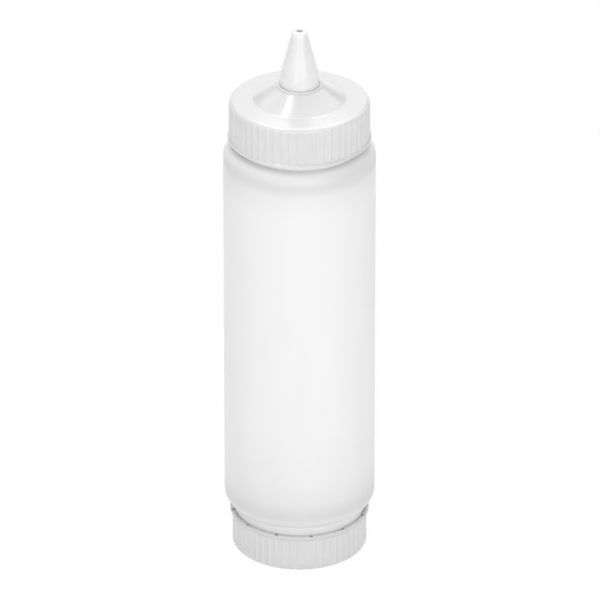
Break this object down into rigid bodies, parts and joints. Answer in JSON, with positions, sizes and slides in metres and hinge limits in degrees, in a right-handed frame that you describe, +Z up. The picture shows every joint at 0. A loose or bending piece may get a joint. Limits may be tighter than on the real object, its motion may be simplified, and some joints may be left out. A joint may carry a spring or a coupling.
{
  "type": "two-ended squeeze sauce bottle",
  "caption": "Tall round squeeze bottle, threaded at both ends, with a ribbed dispensing cap that holds a clear cone nozzle and slit valve, and a ribbed base cap it stands on.",
  "frame": {"origin": "middle of the underside of the base cap, on the surface that the bottle stands on", "axes": "+Z up along the axis of the bottle, towards the nozzle; X and Y are alike on a round bottle, and -Y is the side that faces the viewer"},
  "size_m": [0.07, 0.07, 0.2644],
  "materials": {
    "bottle_plastic": "milky translucent polyethylene, soft satin",
    "cap_plastic": "natural polypropylene, satin, slightly translucent",
    "nozzle_plastic": "clear, glossy",
    "valve_silicone": "clear silicone, soft sheen",
    "seal_foam": "white closed-cell foam, matt"
  },
  "bodies": {
    "base": {"base_cap": "cap_plastic"},
    "base_washer": {"base_seal": "seal_foam"},
    "body": {"bottle": "bottle_plastic"},
    "top_washer": {"top_seal": "seal_foam"},
    "dispenser": {"top_cap": "cap_plastic", "nozzle": "nozzle_plastic", "valve": "valve_silicone", "valve_retainer": "cap_plastic"}
  },
  "joints": [
    {"name": "bottle_turn", "type": "hinge", "parent": "base", "child": "base_washer", "pos_m": [0, 0, 0], "axis": [0, 0, 1], "range_deg": [0, 1440]},
    {"name": "bottle_rise", "type": "slide", "parent": "base_washer", "child": "body", "axis": [0, 0, 1], "range_m": [0, 0.0181]},
    {"name": "cap_rise", "type": "slide", "parent": "body", "child": "top_washer", "axis": [0, 0, 1], "range_m": [0, 0.0181]},
    {"name": "cap_turn", "type": "hinge", "parent": "top_washer", "child": "dispenser", "pos_m": [0, 0, 0], "axis": [0, 0, 1], "range_deg": [0, 1440]}
  ],
  "couplings": [
    {"joint": "bottle_rise", "follows": "bottle_turn", "m_per_rad": 0.0007162},
    {"joint": "cap_rise", "follows": "cap_turn", "m_per_rad": 0.0007162}
  ]
}
